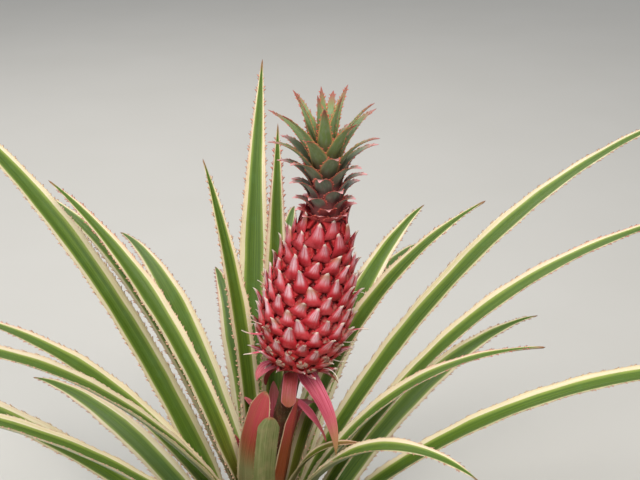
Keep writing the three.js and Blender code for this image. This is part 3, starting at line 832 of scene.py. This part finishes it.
def hood(n, t, x):
    """Places out from, across and up the fruit on the bract of eye n, at t along and x across. It
    lies size (−0.95 + tall t) up. Its ridge is 0.4 + 5.2 √t mm and tip t³ out, with a keel of
    1 mm. Its half width is that of a hood, w (1 − t^2.9), and of the flanges that spread from its
    foot and end by t = 0.45. The sides fall back from the ridge by |x| to the 1.6: to the fruit
    at the foot, a little at the tip. Low ones are slim and lean far out, wild ones stand long and
    free, and each is turned and bent a little of its own."""
    share = eye_z[n] / FRUIT_LENGTH
    size = eye_size[n] * (1 + 0.07 * np.sin(4.3 * n + 1))
    size = size * (1 + 0.3 * smooth((share - 0.78) / 0.15))
    low = 1 - smooth((share - 0.04) / 0.2)
    wild = np.sin(2.3 * n + 1) > 0.75
    tall = 1.92 - 0.6 * low + 0.15 * np.sin(1.9 * n) + 0.4 * wild
    hooded = (0.64 - 0.26 * low) * (1 - t**2.9)
    flanges = (0.34 - 0.2 * low) * (1 - smooth((t - 0.08) / 0.37))
    tip = (3.2 + 2.8 * np.sin(2.7 * n) + 4.6 * wild) * MM
    ridge = 0.4 * MM + 5.2 * MM * np.sqrt(t) + tip * t**3 + 5 * MM * low * t
    keel = MM * np.exp(-((x / 0.22) ** 2)) * smooth(t / 0.4)
    held = 1 - smooth((t - 0.3) / 0.4)
    drop = np.abs(x) ** 1.6 * (held * (ridge + 0.6 * MM) + (1 - held) * 3.4 * MM * (1 - 0.5 * t))
    sideways = size * (x * (hooded + flanges) + 0.36 * np.sin(3.7 * n) * t**2.5)
    up = size * (-0.95 + tall * t)
    turn = 0.16 * np.sin(7.9 * n)
    return ridge + keel - drop, sideways + turn * up, up - turn * sideways


def beak(n):
    """The bract of eye n as a closed skin, its inner face 0.8 mm behind the outer one, with three
    fine spines on each side of its foot. Turned to the fruit's slope and moved to its eye."""
    t, x = BEAK_ROWS, BEAK_COLUMNS
    T, X = np.meshgrid(t, x, indexing="ij")
    out, sideways, up = hood(n, T, X)
    thin = 0.8 * MM * np.sqrt(np.clip(1 - X**6, 0, 1)) * (1 - 0.5 * T)
    outer = np.stack([out, sideways, up], -1)
    inner = np.stack([out - thin, sideways, up - 0.2 * thin], -1)
    point = np.stack(hood(n, np.array([1.0]), np.array([0.0])), -1)
    local = [np.concatenate([outer, inner[:, -2:0:-1]], 1).reshape(-1, 3), point]
    for side in (-1, 1):
        at = np.array([0.1, 0.27, 0.46])
        root = np.stack(hood(n, at, 0 * at + side), -1)
        long = (2.9 - 1.2 * at[:, None] + 0.6 * np.sin(n + side)) * MM
        corners = np.array([[0.4, 0, -0.5], [0.4, 0, 0.5], [-0.4, 0, 0]]) * MM
        spines = [*(root + corner for corner in corners), root + long * [0.35, 0.8 * side, 0.5]]
        local.append(np.stack(spines, 1).reshape(-1, 3))
    slope = np.arctan2(fruit_radius(eye_z[n] - 4 * MM) - fruit_radius(eye_z[n] + 4 * MM), 8 * MM)
    foot = [float(fruit_radius(eye_z[n])) - 0.8 * MM, 0, eye_z[n]]
    c, s = np.cos(eye_a[n]), np.sin(eye_a[n])
    placed = lean(np.vstack(local), -slope, foot) @ np.array([[c, s, 0], [-s, c, 0], [0, 0, 1]])
    ring_x = np.concatenate([x, x[-2:0:-1]])
    run = np.concatenate([np.repeat(t, len(ring_x)), [1.0], np.tile([0, 0, 0, 0.5], 6)])
    over = np.concatenate([np.tile(ring_x, len(t)), [0.0], np.full(24, 1.5)])
    withered = 2 * (np.sin(5.3 * n) > 0.72)
    mark = np.stack([run, over, 0 * over + eye_z[n] / FRUIT_LENGTH + withered], -1)
    return placed, [beak_quads, beak_tris], mark


stations, columns = len(BEAK_ROWS), len(BEAK_COLUMNS)
ring = 2 * columns - 2
c = np.arange(1, columns - 2)
foot_faces = np.stack([c, ring - c, ring - c - 1, c + 1], -1)
beak_quads = np.vstack([ring_faces(stations, ring), foot_faces])
spine_tris = np.array([[0, 1, 3], [1, 2, 3], [2, 0, 3], [0, 2, 1]])
spine_starts = stations * ring + 1 + 4 * np.arange(6)
beak_tris = np.vstack([
    fan_faces(ring, (stations - 1) * ring, stations * ring, flipped=False),
    [[0, ring - 1, 1], [columns - 2, columns, columns - 1]],
    *[spine_tris[:, ::-1] + first for first in spine_starts[:3]],
    *[spine_tris + first for first in spine_starts[3:]],
])
points, faces, mark = joined([beak(n) for n in range(EYE_COUNT)])
f = Finish("pale_beak_skin", 0.5, 0.3)
marks = f.marks("eye_mark")
t, across, share = f.split(marks)
side = f.math("ABSOLUTE", across)
place = f.place()
grain = f.noise(place, 600, detail=4)
patch = f.noise(place, 60, detail=3)
streak = f.streaks(marks, (1.0, 7, 40), 5)
skin = f.mix(f.step(t, 0.0, 0.5), (126, 4, 12), (200, 36, 50))
skin = f.over(skin, patch, 0.4, 0.7, (222, 84, 90), 0.5)
pale = f.times(f.step(t, 0.25, 0.55), f.rest(f.step(side, 0.35, 0.9)))
pale = f.times(pale, f.add(0.3, f.times(f.step(streak, 0.36, 0.6), 0.7)))
body = f.math("MODULO", share, 2.0)  # height up the fruit, without the withered mark
pale = f.times(pale, f.rest(f.times(f.step(body, 0.6, 0.95), 0.4)))
skin = f.mix(pale, skin, (234, 190, 200))
# Painted shade: the beaks near the top and near the foot of the fruit are painted darker.
painted_end_shade = f.add(f.step(body, 0.55, 0.95), f.rest(f.step(body, 0.02, 0.3)))
skin = f.mix(f.times(painted_end_shade, 0.26), skin, (84, 16, 18))
withered = f.times(f.step(share, 1.0, 1.5), f.step(t, 0.45, 0.9))
skin = f.mix(f.times(withered, 0.7), skin, (168, 128, 92))
skin = f.over(skin, t, 0.8, 0.96, (244, 226, 212))
spine_paint = f.mix(f.step(t, 0.1, 0.5), (186, 24, 38), (236, 150, 140))
skin = f.over(skin, side, 1.1, 1.4, spine_paint)
f.coat(skin, f.add(grain, f.times(streak, 2.0)), 0.7, 0.0009)
piece = lay_mesh("beaks_of_fruit", lean(points, FRUIT_LEAN, STALK_TOP), faces, {"eye_mark": mark})
dress(piece, f, "fruit", "fruit")

# Threads and stray bracts: a few long pink bracts with white tips stand off the fruit among thin
# white threads, the dried ends of its flowers.

# Each row: share of the way up the fruit, azimuth, rise and arch in degrees, length and half
# width in mm
STRAYS = [
    (0.07, 316, 24, 116, 34, 0.8),
    (0.24, 338, 15, -30, 17, 0.6),
    (0.12, 330, 5, -40, 18, 0.6),
    (0.27, 204, 20, -24, 24, 1.0),
    (0.48, 196, 52, 30, 20, 1.6),
    (0.56, 347, 28, 60, 17, 0.8),
    (0.21, 208, 2, -34, 30, 2.6),
    (0.1, 212, -6, -10, 28, 2.4),
    (0.31, 340, 34, 20, 27, 2.4),
    (0.2, 74, 24, 80, 22, 0.7),
    (0.36, 128, 30, 50, 24, 2.2),
    (0.14, 158, 18, 90, 21, 0.7),
    (0.62, 52, 36, 40, 18, 1.2),
]


def stray(share, azimuth, rise, arch, length, wide):
    """A narrow blade from a place on the fruit, wide mm each way at its foot, with half width
    wide (1 − s)^0.7, and 0.9 mm thick at its foot."""
    foot = float(fruit_radius(share * FRUIT_LENGTH)) + 1.5 * MM
    seat = level_way(azimuth) * foot + UP * share * FRUIT_LENGTH
    frames = blade_frames(seat, azimuth, rise, arch, length * MM, steps=20)

    def half(s):
        return wide * MM * (1 - s) ** 0.7

    def lift(x, s):
        return 0.3 * wide * MM * np.abs(x)

    thick = (0.9 * MM, 0.5)
    points, faces, _, run, _ = blade_skin(frames, half, lift, thick, length * MM, columns=6)
    return points, faces, np.stack([run, 0 * run + wide, 0 * run], -1)


points, faces, mark = joined([stray(*row) for row in STRAYS])
points = lean(points, FRUIT_LEAN, STALK_TOP)
f = Finish("dry_tip_skin", 0.6)
run, wide, _ = f.split(f.marks("stray_mark"))
speck = f.noise(f.place(), 300, detail=2)
pink = f.mix(speck, (196, 44, 66), (226, 128, 146))
white = f.mix(speck, (226, 202, 186), (248, 240, 230))
whitened = f.math("MAXIMUM", f.step(run, 0.45, 0.75), f.rest(f.step(wide, 0.9, 1.4)))
f.coat(f.mix(whitened, pink, white))
piece = lay_mesh("threads_and_stray_bracts", points, faces, {"stray_mark": mark})
dress(piece, f, "fruit", "fruit")

# Crown: the tuft of short leaves on the fruit, in the same spiral. They are blue-green to
# grey-green, recurved, maroon at the foot, with red saw-toothed edges and pink tips.

CROWN_LEAN = np.radians(-1)
CROWN_FOOT = STALK_TOP + FRUIT_AXIS * (FRUIT_LENGTH + CLEAR)
CROWN_CORE = [(-6, 18), (22, 19), (58, 15), (84, 7)]  # heights and radii in mm
CROWN_LEAF_COUNT = 42
RUFF_COUNT = 11  # small red scales round its foot
CROWN_HEIGHT = 80  # of its highest seat
CROWN_LENGTH = [(0, 24), (0.25, 36), (0.5, 60), (0.75, 80), (0.9, 74), (1, 60)]
CROWN_RISE = [(0, 62), (0.3, 70), (0.6, 62), (0.85, 68), (1, 86)]
CROWN_ARCH = [(0, 70), (0.3, 80), (0.6, 56), (0.85, 30), (1, 8)]
CROWN_HALF = [(0, 8.5), (0.3, 10), (0.7, 10), (1, 7)]


def crown_core(a, z):
    """The source's core radius at a height over the crown's foot, with shallow lumps, less
    1.5 mm."""
    return along(CROWN_CORE, z / MM) * MM * (1 + 0.03 * np.sin(5 * a + 200 * z)) - 1.5 * MM


def crown_leaf(k):
    """Crown leaf k by the source's rule, channelled by |x|^1.5, with waved edges and saw teeth.
    It narrows by the 0.75 power over 0.6 to 0.8 of its length. A k below 0 is a ruff scale."""
    share = max(0, k / (CROWN_LEAF_COUNT - 1))
    azimuth = GOLDEN_ANGLE * k
    ruff = k < 0
    height = (CROWN_HEIGHT * share - (2 + np.sin(5 * k)) * ruff) * MM
    reach = along(CROWN_CORE, height / MM) - 3 * (not ruff)
    seat = level_way(azimuth) * reach * MM + UP * height
    length = (along(CROWN_LENGTH, share) - (4 + 4 * np.sin(3 * k)) * ruff) * MM
    rise = along(CROWN_RISE, share) + 12 * np.sin(7 * k) * ruff
    arch = along(CROWN_ARCH, share) * (0.5 + 0.3 * np.sin(4 * k) if ruff else 1)
    frames = blade_frames(seat, azimuth, rise, arch, length, steps=32)
    width = along(CROWN_HALF, share) * MM

    def half(s):
        return 1.04 * width * np.minimum(1, ((1 - s) / (0.6 + 0.2 * share)) ** 0.75)

    def lift(x, s):
        return 0.28 * half(s) * np.abs(x) ** 1.5 + 0.3 * MM * x**2 * np.sin(14 * s + k)

    spine = (2.7 * MM, 2.7 * MM, 0.2, 0.96)
    points, faces, place, along_it, _ = blade_skin(
        frames, half, lift, (1.5 * MM, 0.4), length, spine, offset=200.0 + k, columns=10
    )
    tone = np.stack([along_it, 0 * along_it + share - 0.1 * ruff, 0 * along_it], -1)
    return points, faces, place, tone


scales = [crown_leaf(k) for k in range(-RUFF_COUNT, CROWN_LEAF_COUNT)]
points, faces, place_marks, tone_marks = joined(scales)
f = Finish("red_toothed_crown_skin", 0.5, 0.4)
side, _, flat, share, level, _ = blade_marks(f)
lines = f.streaks(flat, (16, 24, 1), 4)
bloom = f.streaks(flat, (3, 90, 1), 4)
green = f.mix(f.step(level, 0.3, 0.8), (104, 118, 104), (122, 142, 84))
green = f.over(green, bloom, 0.4, 0.7, (146, 158, 140), 0.5)
blush = f.times(f.step(lines, 0.45, 0.7), f.rest(f.step(level, 0.3, 0.8)))
green = f.mix(f.times(blush, 0.6), green, (142, 84, 78))
low = f.rest(f.step(level, 0.0, 0.16))
green = f.mix(f.times(low, 0.85), green, (182, 56, 64))
foot = f.rest(f.step(share, 0.05, 0.35))
green = f.mix(f.times(foot, 0.6), green, (112, 48, 50))
edge = f.step(f.add(side, f.times(f.add(lines, -0.5), 0.2)), 0.74, 0.96)
rim = f.mix(f.step(level, 0.3, 0.75), (176, 72, 70), (204, 170, 104))
skin = f.mix(f.times(edge, 0.85), green, rim)
tip = f.mix(f.step(level, 0.35, 0.8), (234, 168, 170), (160, 88, 78))
skin = f.over(skin, share, 0.66, 0.98, tip)
skin = f.over(skin, side, 1.0, 1.12, (220, 104, 84))
f.coat(skin, lines, 0.35, 0.0008)
marks = {"blade_place": place_marks, "blade_tone": tone_marks}
piece = lay_mesh("crown_leaves", lean(points, CROWN_LEAN, CROWN_FOOT), faces, marks)
dress(piece, f, "crown", "crown")

a, z = round_grid(48, 40, -3 * MM, 84 * MM)
points, faces = capped(turned(a, z, crown_core(a, z)), [0, 0, -3 * MM], [0, 0, 87 * MM])
f = Finish("crown_core_skin", 0.7)
fleck = f.noise(f.place(), 260, detail=4)
f.coat(f.mix(fleck, (78, 30, 34), (126, 66, 60)), fleck, 0.4, 0.0008)
piece = lay_mesh("core_of_crown", lean(points, CROWN_LEAN, CROWN_FOOT), faces)
dress(piece, f, "crown", "crown")

# Studio: a plain pale floor, three soft lights and the camera at the photograph's angle, which
# looks down on the fruit from the front.

FLOOR_SPAN = 20
LIT_POINT = 0.4 * UP
# Each lamp's place, width in metres, watts and colour
LAMPS = {
    "key_light": ((0.3, -1.6, 2.6), 1.1, 60, (1.0, 0.97, 0.92)),
    "fill_light": ((-2.2, -1.4, 1.8), 1.8, 32, (0.93, 0.97, 1.0)),
    "back_light": ((-0.6, 2.2, 2.4), 1.6, 30, (1.0, 0.98, 0.95)),
}
AIR_COLOUR = (0.9, 0.93, 0.97, 1)
AIR_STRENGTH = 0.45
CAMERA_PLACE = (0.0644, -1.2529, 1.1389)
CAMERA_TILT = np.radians(66)  # up from straight down
FOCAL_PIXELS = 1250  # focal length in pixels of the photo, which is 640 of them wide
floor = lay_mesh(
    "pale_floor",
    np.array([[-1, -1, 0], [1, -1, 0], [1, 1, 0], [-1, 1, 0]]) * FLOOR_SPAN - CLEAR * UP,
    [np.array([[0, 1, 2, 3]])],
)
f = Finish("pale_floor_paint", 0.85)
cloud = f.noise(f.place(), 3.0, detail=2)
f.coat(f.mix(cloud, (206, 203, 196), (212, 209, 203)))
floor.data.materials.append(f.material)

for name, (place, size, power, colour) in LAMPS.items():
    lamp = bpy.data.lights.new(name, "AREA")
    lamp.size, lamp.energy, lamp.color = size, power, colour
    item = bpy.data.objects.new(name, lamp)
    item.location = place
    way = LIT_POINT - place
    item.rotation_euler = (
        np.arccos(-way[2] / np.linalg.norm(way)), 0, np.arctan2(way[1], way[0]) - np.pi / 2,
    )
    bpy.context.scene.collection.objects.link(item)

world = bpy.data.worlds.new("studio_air")
world.use_nodes = True
air = world.node_tree.nodes["Background"].inputs
air["Color"].default_value, air["Strength"].default_value = AIR_COLOUR, AIR_STRENGTH
bpy.context.scene.world = world
bpy.context.scene.view_settings.view_transform = "Standard"

lens = bpy.data.cameras.new("front_camera")
lens.sensor_width = 36
lens.lens = 36 * FOCAL_PIXELS / 640
camera = bpy.data.objects.new("front_camera", lens)
camera.location = CAMERA_PLACE
camera.rotation_euler = (CAMERA_TILT, 0, 0)
bpy.context.scene.collection.objects.link(camera)
bpy.context.scene.camera = camera
